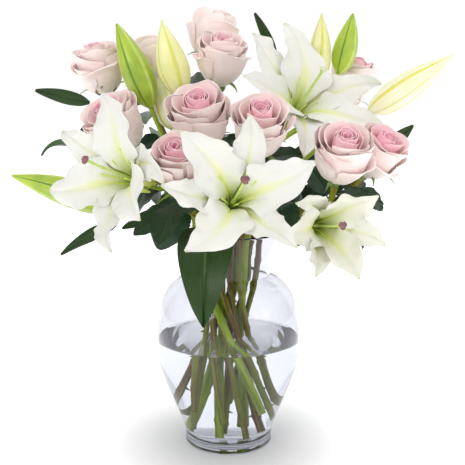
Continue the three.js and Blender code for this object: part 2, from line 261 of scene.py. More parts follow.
def grid_faces(rows, cols, start=0, wrap=False, flip=False):
    faces = []
    for r in range(rows - 1):
        for c in range(cols if wrap else cols - 1):
            a = start + r * cols + c
            b = start + r * cols + (c + 1) % cols
            face = (a, b, b + cols, a + cols)
            faces.append(face[::-1] if flip else face)
    return faces


def capped_faces(rows, sides):
    """The faces of a stack of rings, closed by a fan round each of the two points that follow them."""
    count = rows * sides
    faces = grid_faces(rows, sides, wrap=True)
    faces += [(count, (c + 1) % sides, c) for c in range(sides)]
    faces += [(count + 1, count - sides + c, count - sides + (c + 1) % sides) for c in range(sides)]
    return faces


def grid_normals(grid):
    down = np.gradient(grid, axis=0)
    over = np.gradient(grid, axis=1)
    return unit(np.cross(over, down))


def sheet(build, grid, thickness, tone=0.0, edge=0.35):
    """Adds a thin closed solid round a grid of points, which thins to a share of its thickness at its edges.
    Its material reads, at each point, how far across it is from -1 to 1, how far along from 0 to 1, and a
    tone, plus UNDERSIDE on the under side."""
    rows, cols = grid.shape[:2]
    t = np.linspace(-1, 1, cols)
    s = np.linspace(0, 1, rows)
    normal = grid_normals(grid)
    half = (thickness / 2 * mix(1, edge, np.abs(t) ** 4))[None, :, None]
    upper = grid + normal * half
    under = grid - normal * half
    place = np.stack(np.broadcast_arrays(t[None, :], s[:, None], tone), axis=-1)
    verts = np.concatenate([upper.reshape(-1, 3), under.reshape(-1, 3)])
    data = np.concatenate([place.reshape(-1, 3), place.reshape(-1, 3) + [0, 0, UNDERSIDE]])
    size = rows * cols
    faces = grid_faces(rows, cols) + grid_faces(rows, cols, start=size, flip=True)
    rim = list(range(cols))
    rim += [r * cols + cols - 1 for r in range(1, rows)]
    rim += [(rows - 1) * cols + c for c in range(cols - 2, -1, -1)]
    rim += [r * cols for r in range(rows - 2, 0, -1)]
    for a, b in zip(rim, rim[1:] + rim[:1]):
        faces.append((b, a, a + size, b + size))
    build.add(verts, faces, data)


def tube(build, path, width, sides=12, shape=None, tone=0.0):
    """Adds a closed tube along a path. width is its radius at each point, and shape(angle, row) scales it.
    Its material reads how far round it is, from 1 to 0 and back to 1, the distance along it, and a tone."""
    path = np.asarray(path, float)
    along = unit(np.gradient(path, axis=0))
    normal, _ = across(along[0])
    angle = np.linspace(0, 2 * math.pi, sides, endpoint=False)
    round_it = np.abs(angle / math.pi - 1)
    lengths = distances(path)
    verts, data = [], []
    for i, (point, way) in enumerate(zip(path, along)):
        normal = unit(normal - way * (normal @ way))
        third = np.cross(way, normal)
        reach = width[i] * (shape(angle, i) if shape else np.ones(sides))
        cosine, sine = (reach * np.cos(angle))[:, None], (reach * np.sin(angle))[:, None]
        verts.append(point + cosine * normal + sine * third)
        data.append(np.stack([round_it, np.full(sides, lengths[i]), np.full(sides, tone)], axis=1))
    verts = np.concatenate(verts + [path[[0, -1]]])
    data = np.concatenate(data + [np.array([[0, 0, tone], [0, lengths[-1], tone]])])
    build.add(verts, capped_faces(len(path), sides), data)


def lathe(name, outline, sides):
    """A solid turned about +Z from an outline of (radius, height) that starts and ends on the axis."""
    inner = outline[1:-1]
    angle = np.linspace(0, 2 * math.pi, sides, endpoint=False)
    rows = [np.stack([r * np.cos(angle), r * np.sin(angle), np.full(sides, z)], axis=1) for r, z in inner]
    ends = np.array([[0, 0, outline[0][1]], [0, 0, outline[-1][1]]])
    verts = np.concatenate(rows + [ends])
    return make(name, verts, capped_faces(len(inner), sides), np.zeros((len(verts), 3)), smooth_under=40)


# ---------------------------------------------------------------- materials


class Nodes:
    """Makes and joins the nodes of a tree. Where a number is due, an output of another node does too."""

    def __init__(self, tree):
        self.tree = tree

    def node(self, kind, inputs=(), **settings):
        made = self.tree.nodes.new(kind)
        for key, value in settings.items():
            setattr(made, key, value)
        for socket, value in dict(inputs).items():
            self.feed(made.inputs[socket], value)
        return made

    def feed(self, socket, value):
        if isinstance(value, bpy.types.NodeSocket):
            self.tree.links.new(value, socket)
        else:
            socket.default_value = value

    def parts(self, vector):
        split = self.node("ShaderNodeSeparateXYZ", {0: vector})
        return split.outputs[0], split.outputs[1], split.outputs[2]

    def where(self, output="Object"):
        return self.node("ShaderNodeTexCoord").outputs[output]

    def calc(self, operation, *values):
        return self.node("ShaderNodeMath", dict(enumerate(values)), operation=operation).outputs[0]

    def times(self, a, b):
        return self.calc("MULTIPLY", a, b)

    def vector(self, *xyz):
        return self.node("ShaderNodeCombineXYZ", dict(enumerate(xyz))).outputs[0]

    def between(self, value, low, high, start=0.0, end=1.0, shape="SMOOTHSTEP"):
        """Goes from start to end while the value goes from low to high."""
        sockets = {"Value": value, "From Min": low, "From Max": high, "To Min": start, "To Max": end}
        return self.node("ShaderNodeMapRange", sockets, interpolation_type=shape).outputs[0]

    def noise(self, scale, vector=None):
        sockets = {"Vector": vector or self.where(), "Scale": scale, "Detail": 3.0}
        return self.node("ShaderNodeTexNoise", sockets).outputs[0]

    def blend(self, factor, a, b):
        made = self.node("ShaderNodeMix", data_type="RGBA")
        for socket, value in ((made.inputs[0], factor), (made.inputs[6], a), (made.inputs[7], b)):
            self.feed(socket, value if isinstance(value, (float, bpy.types.NodeSocket)) else (*value, 1))
        return made.outputs[2]


class Look(Nodes):
    """A Principled material."""

    def __init__(self, name, **settings):
        self.material = bpy.data.materials.new(name)
        self.material.use_nodes = True
        super().__init__(self.material.node_tree)
        self.shader = self.tree.nodes["Principled BSDF"]
        for socket, value in settings.items():
            self.shader.inputs[socket.replace("_", " ")].default_value = value

    def set(self, socket, value):
        self.feed(self.shader.inputs[socket], value)

    def place(self):
        """The three numbers that each mesh holds at its points."""
        return self.parts(self.node("ShaderNodeAttribute", attribute_name="place").outputs["Vector"])

    def bump(self, height, distance, strength=1.0):
        made = self.node("ShaderNodeBump", {"Height": height, "Distance": distance, "Strength": strength})
        self.set("Normal", made.outputs[0])


# Light spreads only a little way inside a petal, and about as far in every colour.
THIN_SKIN = {"Subsurface_Weight": 0.3, "Subsurface_Radius": (1.0, 0.8, 0.7), "Subsurface_Scale": 0.0015}


def lily_white(name, cream, throat):
    """White tepal: yellow-green down in the throat and along the midrib, with fine veins from base to tip."""
    look = Look(name, Roughness=0.42, **THIN_SKIN)
    t, s, tone = look.place()
    wide = look.calc("ABSOLUTE", t)
    grain = look.noise(1.0, look.vector(look.times(t, 26.0), look.times(s, 3.0), tone))
    blotch = look.noise(55.0)
    colour = look.blend(blotch, (0.76, 0.76, 0.745), cream)
    rib = look.times(look.between(wide, 0.02, 0.26, 1, 0), look.between(s, 0.3, 0.9, 0.85, 0))
    colour = look.blend(rib, colour, (0.76, 0.80, 0.28))
    deep = look.calc("ADD", s, look.times(wide, 0.10))
    colour = look.blend(look.between(deep, 0.05, 0.14 + throat, 1.0, 0), colour, (0.60, 0.69, 0.07))
    colour = look.blend(look.between(deep, 0.10, 0.24, 0.8, 0), colour, (0.42, 0.52, 0.03))
    colour = look.blend(look.between(s, 0.955, 1.0, 0, 0.6), colour, (0.55, 0.6, 0.2))
    look.set("Base Color", look.blend(look.between(grain, 0.35, 0.75, 0, 0.22), colour, (0.72, 0.73, 0.62)))
    look.bump(grain, 0.0006, 0.55)
    return look.material


def rose_pink(name, edge, heart, base):
    """Rose petal: its heart petals are the deepest pink, and the outer ones pale, with a cream foot and a
    painted highlight along their rims.
    """
    look = Look(name, Roughness=0.5, **THIN_SKIN)
    t, s, tone = look.place()
    layer = look.calc("WRAP", tone, UNDERSIDE, 0.0)
    colour = look.blend(look.between(layer, 0.15, 0.66, 1, 0), edge, heart)
    veins = look.noise(1.0, look.vector(look.times(t, 18.0), look.times(s, 2.5), tone))
    blotch = look.noise(60.0)
    colour = look.blend(look.between(blotch, 0.4, 0.75, 0, 0.3), colour, (0.99, 0.76, 0.745))
    outer = look.between(layer, 0.4, 0.9)
    foot = look.times(look.between(s, 0.1, 0.65, 0.9, 0), outer)
    # painted highlight: the rims of the outer petals are painted paler, as if light caught their rolled edges
    rim = look.times(look.between(s, 0.84, 1.0, 0, 0.4), outer)
    colour = look.blend(rim, look.blend(foot, colour, base), (0.99, 0.87, 0.83))
    look.set("Base Color", look.blend(look.between(veins, 0.45, 0.85, 0, 0.14), colour, (0.97, 0.68, 0.69)))
    look.bump(veins, 0.0005, 0.4)
    return look.material


def bud_skin(name, body, ridge, groove_shade_and_blotch):
    """Lily bud: three ribs run from foot to tip, and the grooves between them are painted darker, as painted
    shade. Random blotches of the same darker colour are the skin's own tone.
    """
    look = Look(name, Roughness=0.36, Subsurface_Weight=0.15, Subsurface_Scale=0.003, Coat_Weight=0.08)
    turn, along, rib = look.place()
    grain = look.noise(1.0, look.vector(look.times(turn, 12.0), look.times(along, 30.0), 0.0))
    colour = look.blend(look.between(rib, 0.35, 0.95), body, ridge)
    # painted shade: the grooves between the tepals are painted darker
    colour = look.blend(look.between(rib, -0.9, -0.2, 0.8, 0), colour, groove_shade_and_blotch)
    blotch = look.noise(38.0)
    # random blotches of the same darker colour, the skin's own tone
    colour = look.blend(look.between(blotch, 0.42, 0.7, 0, 0.4), colour, groove_shade_and_blotch)
    look.set("Base Color", look.blend(look.between(grain, 0.45, 0.8, 0, 0.25), colour, ridge))
    look.bump(grain, 0.0004, 0.25)
    return look.material


def leaf_green(name, upper, vein, lower, lines):
    """Leaf: a pale midrib, and veins beside it. lines says how many there are, and how far they lean from
    running along the leaf, at 0, to feathering off its midrib."""
    look = Look(name, Roughness=0.38, Specular_IOR_Level=0.35, Coat_Weight=0.05, Coat_Roughness=0.35)
    t, s, tone = look.place()
    wide = look.calc("ABSOLUTE", t)
    count, lean = lines
    across_it, along_it = look.times(wide, count * (1 - lean)), look.times(s, count * lean)
    phase = look.calc("SUBTRACT", across_it, along_it)
    phase = look.calc("ADD", phase, look.times(wide, count * lean * 0.45))
    wave = look.calc("ABSOLUTE", look.calc("SINE", look.times(phase, math.pi)))
    line = look.between(wave, 0.0, 0.3, 1, 0)
    rib = look.between(wide, 0.02, 0.07, 1, 0)
    under = look.between(tone, 4.0, 6.0)
    colour = look.blend(look.noise(45.0), upper, [c * 0.62 for c in upper])
    colour = look.blend(under, colour, lower)
    colour = look.blend(look.times(line, 0.32), colour, vein)
    look.set("Base Color", look.blend(look.times(rib, 0.7), colour, vein))
    hollows = look.times(look.calc("ADD", line, rib), 0.8)
    look.bump(look.calc("SUBTRACT", look.noise(300.0), hollows), 0.0004)
    return look.material


def stem_skin(name, green, brown, share):
    """Stem: green, reddening to brown in long streaks."""
    look = Look(name, Roughness=0.42, Specular_IOR_Level=0.25)
    turn, along, tone = look.place()
    streak = look.noise(1.0, look.vector(look.times(turn, 3.0), look.times(along, 14.0), tone))
    fibre = look.noise(1.0, look.vector(look.times(turn, 40.0), look.times(along, 60.0), tone))
    colour = look.blend(look.between(streak, share - 0.12, share + 0.12), brown, green)
    dark = [c * 0.5 for c in green]
    look.set("Base Color", look.blend(look.between(fibre, 0.35, 0.75, 0, 0.45), colour, dark))
    look.bump(fibre, 0.0005, 0.6)
    return look.material


def plain_skin(name, colour, other, roughness):
    """Small smooth parts: one colour broken up by another."""
    look = Look(name, Roughness=roughness, Subsurface_Weight=0.1, Subsurface_Scale=0.002)
    speckle = look.noise(260.0)
    look.set("Base Color", look.blend(look.between(speckle, 0.35, 0.7), colour, other))
    look.bump(speckle, 0.0003, 0.5)
    return look.material


def clear(name, ior, tint, depth_tint, density):
    """Glass or water, which lets the lamps' light through and darkens with thickness. It reflects less than
    in life, so that what is inside stays clear."""
    look = Look(name, Roughness=0.0, IOR=ior, Transmission_Weight=1.0, Specular_Tint=(0.45, 0.45, 0.47, 1))
    look.set("Base Color", (*tint, 1))
    through = look.node("ShaderNodeBsdfTransparent")
    through.inputs[0].default_value = (*tint, 1)
    ray = look.node("ShaderNodeLightPath")
    join = look.node("ShaderNodeMixShader", {0: ray.outputs["Is Shadow Ray"]})
    look.feed(join.inputs[1], look.shader.outputs[0])
    look.feed(join.inputs[2], through.outputs[0])
    depth = look.node("ShaderNodeVolumeAbsorption", {"Color": (*depth_tint, 1), "Density": density})
    end = look.tree.nodes["Material Output"]
    look.feed(end.inputs["Surface"], join.outputs[0])
    look.feed(end.inputs["Volume"], depth.outputs[0])
    return look.material


MATERIALS = {
    "glass": clear("clear_glass", 1.5, (0.82, 0.825, 0.865), (0.34, 0.35, 0.42), 9.0),
    "water": clear("still_water", 1.33, (0.985, 0.99, 0.99), (0.5, 0.8, 0.85), 0.6),
    "lily": lily_white("lily_tepal", (0.79, 0.785, 0.71), 0.46),
    "cream_lily": lily_white("lily_tepal_cream", (0.81, 0.81, 0.64), 0.55),
    "rose": rose_pink("rose_petal", (0.997, 0.82, 0.79), (0.99, 0.50, 0.62), (0.995, 0.87, 0.77)),
    "green_bud": bud_skin("bud_green", (0.40, 0.55, 0.045), (0.62, 0.72, 0.16), (0.10, 0.24, 0.015)),
    "pale_bud": bud_skin("bud_pale", (0.84, 0.82, 0.42), (0.68, 0.70, 0.10), (0.60, 0.64, 0.15)),
    "cream_bud": bud_skin("bud_cream", (0.91, 0.90, 0.66), (0.72, 0.70, 0.07), (0.78, 0.78, 0.32)),
    "lily_leaf": leaf_green(
        "lily_leaf", (0.024, 0.066, 0.009), (0.08, 0.17, 0.05), (0.07, 0.15, 0.06), lines=(9.0, 0.0)
    ),
    "rose_leaf": leaf_green(
        "rose_leaf", (0.015, 0.055, 0.018), (0.06, 0.13, 0.05), (0.06, 0.12, 0.06), lines=(9.0, 0.75)
    ),
    "rose_stem": stem_skin("rose_stem", (0.28, 0.34, 0.025), (0.20, 0.055, 0.025), 0.48),
    "lily_stem": stem_skin("lily_stem", (0.46, 0.60, 0.05), (0.20, 0.32, 0.025), 0.46),
    "sepal": plain_skin("sepal", (0.10, 0.20, 0.05), (0.20, 0.30, 0.09), 0.5),
    "style": plain_skin("style", (0.50, 0.66, 0.16), (0.62, 0.74, 0.26), 0.4),
    "stigma": plain_skin("stigma", (0.17, 0.06, 0.08), (0.28, 0.13, 0.13), 0.55),
    "pale_stigma": plain_skin("stigma_pale", (0.55, 0.62, 0.35), (0.65, 0.7, 0.48), 0.5),
    "filament": plain_skin("filament", (0.62, 0.74, 0.12), (0.72, 0.82, 0.26), 0.4),
}


made_pieces = []


def finish(piece, look, slot, *nodes):
    """Gives a piece its material, hangs it from the root body, and hides the CAD nodes that it stands in for.
    Its slot is not used.
    """
    made_pieces.append(piece)
    piece.data.materials.append(MATERIALS[look])
    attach(piece, "root")
    if nodes:
        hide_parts(*nodes)
    return piece


# ---------------------------------------------------------------- vase and water


# The hollow under the foot: shares of the foot's radius, and heights in millimetres.
HOLLOW = ((0, 2.2), (0.5, 2.1), (0.78, 1.5), (0.86, 0.4), (0.9, 0))
# The water's turned-up edge: millimetres out from the inside of the glass, and up from the level.
MENISCUS = ((0.3, 1.3), (-0.6, 0.9), (-1.6, 0.3), (-4, 0))
OVERLAP = 0.3 * MM


def turned_outline(node):
    """A turned node's outline as (radius, height), from the middle of its underside to that of its top."""
    points, neighbours = welded(node)
    on_axis = [i for i in range(len(points)) if np.hypot(*points[i, :2]) < 0.1 * MM]
    level = {min(on_axis, key=lambda i: points[i, 2])}
    seen = set()
    outline = []
    while level:
        ring = points[sorted(level)]
        outline.append((np.hypot(ring[:, 0], ring[:, 1]).mean(), ring[:, 2].mean()))
        seen |= level
        level = set().union(*(neighbours[i] for i in level)) - seen
    return np.array(outline)


def vase():
    """The glass, with the shallow hollow that such a vase has under its foot."""
    outline = turned_outline("vase")
    fine = [outline[0]]
    for a, b, c, d in zip(outline[:-3], outline[1:], outline[2:], outline[3:]):
        fine.append(b)
        corner = unit(c - b) @ unit(b - a) < 0.8 or unit(c - b) @ unit(d - c) < 0.8
        if not corner:
            fine += [curve(a, b, c, d, f) for f in (0.25, 0.5, 0.75)]
    fine += [outline[-2], outline[-1]]
    foot = outline[1][0]
    hollow = [(share * foot, height * MM) for share, height in HOLLOW]
    piece = lathe("vase_glass", np.array(hollow + fine[1:]), 128)
    finish(piece, "glass", "clear_glass", "vase")
    return outline


def water(outline):
    """The water fills the vase to the CAD water's level and reaches a hair into the glass, so that no air
    shows between them. Its top turns up a little where it meets the glass."""
    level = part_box("water")[1][2]
    rim = int(outline[:, 1].argmax())
    inside = outline[rim:][::-1]
    under = [(r + OVERLAP, z - OVERLAP) for r, z in inside if z < level - 1 * MM]
    edge = np.interp(level, inside[1:, 1], inside[1:, 0])
    top = [(edge + out * MM, level + up * MM) for out, up in MENISCUS] + [(0, level)]
    piece = lathe("water_body", np.array(under + top), 96)
    finish(piece, "water", "water", "water")


# ---------------------------------------------------------------- lilies


def flower_axis(number):
    """Where a lily's pistil starts, and its rings from there to its tip."""
    pistil = f"lily_{number}_pistil"
    points, _ = welded(pistil)
    stem, _ = welded(f"lily_{number}_stem")
    foot = min(far_ends(points), key=lambda end: np.linalg.norm(stem - end, axis=1).min())
    return walk(pistil, 6, foot)


# Tepals with a rose or a bud close by, which spread and wave less to stay clear of it.
CROWDED_TEPALS = ((3, "inner", 2), (3, "inner", 3))
# The lengths that the details of a tepal and of a pistil are meant for.
USUAL_TEPAL = 90 * MM
USUAL_PISTIL = 78 * MM
FILAMENTS = 6


def tepal(number, whorl, i, facing, rng):
    """One tepal: the CAD blade, spread a little wider, with a channel down its middle and a waved edge."""
    node = f"lily_{number}_{whorl}_tepal_{i}"
    rows, cols = 44, 21
    grid = refined(blade_grid(node, facing), rows, cols)
    s = np.linspace(0, 1, rows)[:, None]
    t = np.linspace(-1, 1, cols)[None, :]
    room = 0.35 if (number, whorl, i) in CROWDED_TEPALS else 1.0

    # The outline: broader in the middle, with a scalloped edge.
    spine = grid[:, cols // 2][:, None]
    scallop = np.zeros((rows, cols))
    for half in (-1, 1):
        wave = np.sin(TURN * rng.uniform(4, 6.5) * s + rng.uniform(0, TURN))
        scallop += np.clip(t * half, 0, 1) ** 3 * wave
    middle = ramp(s, 0.2, 0.45) * (1 - ramp(s, 0.86, 1))
    broad = 1 + (room * 0.14 + 0.09 * scallop) * middle
    grid = spine + (grid - spine) * broad[..., None]

    # The surface: ruffles toward both edges, a channel down the middle and a slight fold.
    normal = grid_normals(grid)
    size = np.linalg.norm(grid[-1].mean(axis=0) - grid[0].mean(axis=0)) / USUAL_TEPAL
    waves = np.zeros((rows, cols))
    for half in (-1, 1):
        phase, count, fine = rng.uniform(0, TURN), rng.uniform(2.2, 3.2), rng.uniform(6, 8.5)
        edge = np.clip(t * half, 0, 1) ** 2.2
        waves += edge * (2.7 * np.sin(TURN * count * s + phase) + 0.8 * np.sin(TURN * fine * s + 2 * phase))
    open_part = ramp(s, 0.22, 0.5) * (1 - 0.75 * ramp(s, 0.82, 1.0))
    channel = -1.5 * np.exp(-((t / 0.13) ** 2)) * ramp(s, 0.05, 0.2) * (1 - ramp(s, 0.8, 0.98))
    fold = (0.6 if whorl == "inner" else 1.6) * np.abs(t) ** 1.5 * ramp(s, 0.3, 0.6)
    lift = waves * open_part * 1.4 * room + channel + fold
    grid = grid + normal * (lift * MM * size)[..., None]
    build = Build()
    sheet(build, grid, 0.8 * MM, tone=rng.uniform(0, 1), edge=0.4)
    return build.piece(f"{node}_petal")


def pistil(number, rings, look):
    """The ovary and style in one, and the three-lobed stigma on their end."""
    line = resampled(centres(rings), 40)
    length = np.linalg.norm(line[-1] - line[0])
    s = np.linspace(0, 1, len(line))
    thick = 1.3 + 1.7 * (1 - ramp(s, 0.2, 0.36)) + 0.5 * ramp(s, 0.8, 0.97)
    build = Build()
    width = thick[:-2] * MM * length / USUAL_PISTIL
    tube(build, line[:-2], width, 16, lambda angle, i: 1 + 0.06 * np.cos(6 * angle))
    finish(build.piece(f"lily_{number}_style"), "style", "pistil", f"lily_{number}_pistil")
    tip = line[-3]
    way = unit(line[-1] - line[-4])
    path = tip + way * np.linspace(0, 4.2, 9)[:, None] * MM
    swell = np.array([1.4, 2.6, 3.4, 3.9, 4.1, 3.9, 3.3, 2.3, 0.7]) * MM
    build = Build()
    tube(build, path, swell, 36, lobed)
    finish(build.piece(f"lily_{number}_stigma"), look, "pistil")


def lobed(angle, i):
    """The section of a stigma: three lobes with grooves between them, and a grain."""
    return 1 - 0.28 * np.cos(1.5 * angle) ** 8 + 0.03 * np.sin(9 * angle)


def stamens(number, rings, rng):
    """Six filaments round the pistil, curving away from it, with their anthers already taken off."""
    line = centres(rings)
    base = line[0]
    axis = unit(line[-3] - line[0])
    length = np.linalg.norm(line[-1] - line[0])
    first, second = across(axis)
    build = Build()
    for i in range(FILAMENTS):
        out = spoke(first, second, math.radians(360 / FILAMENTS * i + rng.uniform(-12, 12)))
        reach = length * rng.uniform(0.4, 0.58)
        lean = rng.uniform(0.26, 0.42)
        s = np.linspace(0, 1, 18)[:, None]
        path = base + axis * s * reach + out * (2.6 * MM + lean * reach * s**1.7) + UP * 4 * MM * s**2
        width = np.linspace(1.3, 0.65, 18) * MM
        tube(build, path, width, 8)
    finish(build.piece(f"lily_{number}_filaments"), "filament", "pistil")


def lily(number, rng):
    """A whole flower, drawn over its CAD tepals and pistil. Gives back the foot of its pistil."""
    rings = flower_axis(number)
    line = centres(rings)
    facing = unit(line[-1] - line[0])
    petals = "cream_lily" if number == CREAM_LILY else "lily"
    for whorl in ("inner", "outer"):
        for i in (1, 2, 3):
            piece = tepal(number, whorl, i, facing, rng)
            finish(piece, petals, "white_tepal", f"lily_{number}_{whorl}_tepal_{i}")
    pistil(number, rings, "pale_stigma" if number == PALE_STIGMA_LILY else "stigma")
    stamens(number, rings, rng)
    return line[0]


def hooks(build, line):
    """Three tiny hooks on the tip of a bud."""
    way = unit(line[-1] - line[-4])
    first, second = across(way)
    s = np.linspace(0, 1, 6)[:, None]
    for i in range(3):
        path = line[-1] + (way * (4 * s - 1.5) + spoke(first, second, THIRD_TURN * i) * (1.6 * s) ** 2) * MM
        tube(build, path, np.linspace(0.9, 0.25, 6) * MM, 8)


def bud(number, look, slot, rng):
    """A closed bud: three broad outer tepals that meet in grooves, each with a raised rib down its back."""
    node = f"lily_bud_{number}"
    rings = from_tip(node, 12)
    rows, sides = 72, 150
    line = resampled(centres(rings), rows)
    width = np.maximum(resampled(radii(rings)[:, None], rows)[:, 0], 0.9 * MM)
    s = np.linspace(0, 1, rows)
    toward = unit(np.array([rng.uniform(-1, 1), rng.uniform(-1, 1), 0.4]))
    bend_way, _ = across(line[-1] - line[0], toward)
    line = line + bend_way * (2.2 * MM * np.sin(math.pi * s))[:, None]
    turn = rng.uniform(0, TURN)

    def section(angle, i):
        around = 1.5 * (angle + turn)
        rib = np.exp(-((np.sin(around) / 0.2) ** 2))
        groove = np.exp(-((np.cos(around) / 0.09) ** 2))
        body = ramp(s[i], 0.02, 0.2) * (1 - 0.4 * ramp(s[i], 0.85, 1))
        return 1 + (0.09 * rib - 0.10 * groove) * body - 0.03 * np.cos(2 * around)

    build = Build()
    tube(build, line, width, sides, section)
    angle = np.linspace(0, 2 * math.pi, sides, endpoint=False)
    around = 1.5 * (angle + turn)
    # positive on the ribs, negative in the grooves, where the material paints shade
    rib = np.exp(-((np.sin(around) / 0.28) ** 2)) - np.exp(-((np.cos(around) / 0.14) ** 2))
    build.data[0][: rows * sides, 2] = np.tile(rib, rows)
    build.data[0][rows * sides :, 2] = 0
    if slot == "pale_bud":
        hooks(build, line)
    finish(build.piece(f"{node}_skin", smooth_under=100), look, slot, node)
    return centres(rings)[0]


# ---------------------------------------------------------------- stems


ROSE_STEM_POINTS = 110
THORN_POINTS = range(8, 104, 8)  # those of them where a thorn may grow


def knobbly(path, radius, rng, every):
    """Radii along a stem that swell a little at each leaf scar."""
    lengths = distances(path)
    width = radius * (1 + 0.04 * np.sin(lengths / 0.02 + rng.uniform(0, 6)))
    at = rng.uniform(0.3, 0.9) * every
    while at < lengths[-1]:
        width = width + radius * 0.28 * np.exp(-(((lengths - at) / (2.2 * MM)) ** 2))
        at += every * rng.uniform(0.75, 1.3)
    return width


def lily_stem(number, ends, rng):
    """A lily's main stem, and a stalk from its fork to the flower and to each bud."""
    node = f"lily_{number}_stem"
    points, _ = welded(node)
    rings = walk(node, 8, points[points[:, 2].argmin()])
    main = resampled(centres(rings), 90)
    radius = radii(rings)[2]
    build = Build()
    tube(build, main, knobbly(main, radius, rng, 55 * MM), 20, tone=number * 3.7)
    for end in ends:
        stalk_rings = walk(node, 7, end)
        stalk = centres(stalk_rings)[::-1]
        path = resampled(np.concatenate([[main[-4], main[-1]], stalk]), 50)
        thin = radii(stalk_rings)[-1]
        width = mix(max(radius * 0.8, thin), thin, ramp(np.linspace(0, 1, 50), 0, 0.3))
        width = width + (radii(stalk_rings)[0] - thin) * ramp(np.linspace(0, 1, 50), 0.85, 1)
        tube(build, path, width, 16, tone=number * 3.7 + 1)
    finish(build.piece(f"{node}_skin"), "lily_stem", "lily_stem", node)
    return main


def thorn(build, point, out, size, tone):
    """A rose thorn: broad at its foot, and hooked down to its point."""
    s = np.linspace(0, 1, 7)[:, None]
    path = point + out * s * size - UP * (s**2) * size * 0.35
    tube(build, path, size * np.linspace(0.42, 0.04, 7), 8, tone=tone)


def rose_stem(number, fine, radius, rng):
    """A rose's stem along a fine line, wider under the hip, with a few thorns."""
    build = Build()
    width = knobbly(fine, radius, rng, 38 * MM)
    width = width * (1 + 0.5 * ramp(np.linspace(0, 1, len(fine)), 0.93, 1))
    tone = number * 5.3
    tube(build, fine, width, 18, tone=tone)
    for i in THORN_POINTS:
        if rng.random() < 0.62:
            first, second = across(unit(fine[i + 1] - fine[i]))
            out = spoke(first, second, rng.uniform(0, TURN))
            thorn(build, fine[i] + out * width[i] * 0.8, out, rng.uniform(2.6, 4.2) * MM, tone)
    finish(build.piece(f"rose_{number}_stem"), "rose_stem", "pink_rose", f"rose_{number}")


# ---------------------------------------------------------------- roses


# A petal's outline from the hip to its rim: how far along it is, and its distance from the bloom's axis as a
# share of the bloom's radius.
CUP = np.array(
    [[0, 0.13], [0.08, 0.44], [0.2, 0.7], [0.36, 0.89], [0.52, 0.98], [0.7, 1], [0.86, 0.95], [1, 0.88]]
)


def rose_petal(build, base, axes, height, radius, layer, turn, rng, flare=0.0, tone=0.0):
    """One petal, as a patch of a cup about the bloom's axis. layer is 0 at the heart and 1 outermost. A flare
    of 1 turns its upper half well away from the bloom."""
    axis, first, second = axes
    rows, cols = (20, 17) if layer > 0.4 else (14, 13)
    v = np.linspace(0, 1, rows)[:, None]
    u = np.linspace(-1, 1, cols)[None, :]
    lean = rng.uniform(-0.25, 0.25)
    reach = v * (1 - (0.05 + 0.12 * layer + 0.1 * flare) * np.abs(u + lean * 0.3) ** 2.6)
    scale = mix(0.10, 0.96, layer**0.9)
    between = ramp(layer, 0.38, 0.5) * (1 - ramp(layer, 0.8, 0.95))
    r = radius * (scale * np.interp(reach, *CUP.T) + 0.16 * between * ramp(reach, 0.66, 1.04))
    outermost = ramp(layer, 0.8, 1.0)
    top = height * (1.0 - 0.10 * np.clip(layer - 0.35, 0, 1) - 0.06 * (1 - layer) ** 6)
    top = top * rng.uniform(0.95, 1.02) * (1 - outermost * rng.uniform(0.0, 0.14))
    slant = rng.uniform(-0.09, 0.09) * (0.3 + layer + outermost)
    z = top * (0.02 + 0.98 * reach) * (1 + slant * u * ramp(reach, 0.4, 1.0))
    open_out = ramp(reach, mix(0.9, 0.62, layer), 1.0)
    roll = mix(0.01, 0.155, layer**1.5) * rng.uniform(0.6, 1.35) * (0.8 + 0.35 * (u * 1.2 + lean * 2))
    roll = np.maximum(roll, 0.005)
    r = r + radius * roll * open_out * (1 + 0.5 * open_out)
    z = z - height * roll * 0.55 * ramp(reach, 0.88, 1.0) ** 1.5
    if flare:
        away = flare * ramp(reach, 0.25, 1.0) ** 1.3
        r = r + radius * 0.24 * away
        z = z - height * 0.24 * away - height * 0.10 * flare * ramp(reach, 0.8, 1.0)
    wide = math.radians(mix(118, 66, layer**0.5) * mix(1, 0.74, flare)) * rng.uniform(0.93, 1.08)
    tuck = u * mix(0.02, 0.035, layer) * radius * ramp(reach, 0.1, 0.6) * (1 - 0.8 * flare)
    count, phase = rng.uniform(2.0, 4.5), rng.uniform(0, 6)
    wave = np.sin(u * count + phase) * 0.03 * radius * (layer + flare + outermost) * ramp(reach, 0.55, 1.0)
    crease = -0.03 * radius * layer * np.exp(-(((u - lean) / 0.12) ** 2)) * ramp(reach, 0.35, 0.8)
    r = np.maximum(r + tuck + wave + crease, 0.35 * MM)
    z = z + height * 0.018 * np.sin(u * count * 1.7 + phase) * ramp(reach, 0.8, 1.0) * (0.4 + layer)
    angle = turn + u * wide * (0.42 + 0.58 * ramp(reach, 0.0, 0.5))
    grid = (
        base
        + axis * z[..., None]
        + first * (r * np.cos(angle))[..., None]
        + second * (r * np.sin(angle))[..., None]
    )
    sheet(build, grid[:, ::-1], 0.5 * MM, tone=tone, edge=0.5)


def rose_bloom(number, base, axis, height, radius, rng):
    """A heart of small petals, a bowl of broad ones, and the cup that wraps them with its loose guard."""
    first, second = across(axis)
    axes = (axis, first, second)
    pale, deep = number in PALE_ROSES, number in DEEP_ROSES
    heart = [(0.03 + 0.029 * i, 0.0) for i in range(12)]
    bowl = [(0.45 + 0.095 * i, 0.0) for i in range(5)]
    cup = [(0.88 + 0.045 * i, 0.0) for i in range(3)]
    guard = [(1.0, flare * rng.uniform(0.7, 1.3)) for flare in rng.sample((0.1, 0.3, 0.6), 3)]
    turn = rng.uniform(0, TURN)
    for group, petals in (("heart", heart), ("bowl", bowl), ("cup", cup), ("guard", guard)):
        build = Build()
        for layer, flare in petals:
            turn += GOLDEN_ANGLE + rng.uniform(-0.2, 0.2)
            tone = min(layer * (0.72 if deep else 1.0) + (0.2 if pale else 0.0), 1.0)
            rose_petal(build, base, axes, height, radius, layer, turn, rng, flare, tone)
        finish(build.piece(f"rose_{number}_{group}_petals"), "rose", "pink_rose")


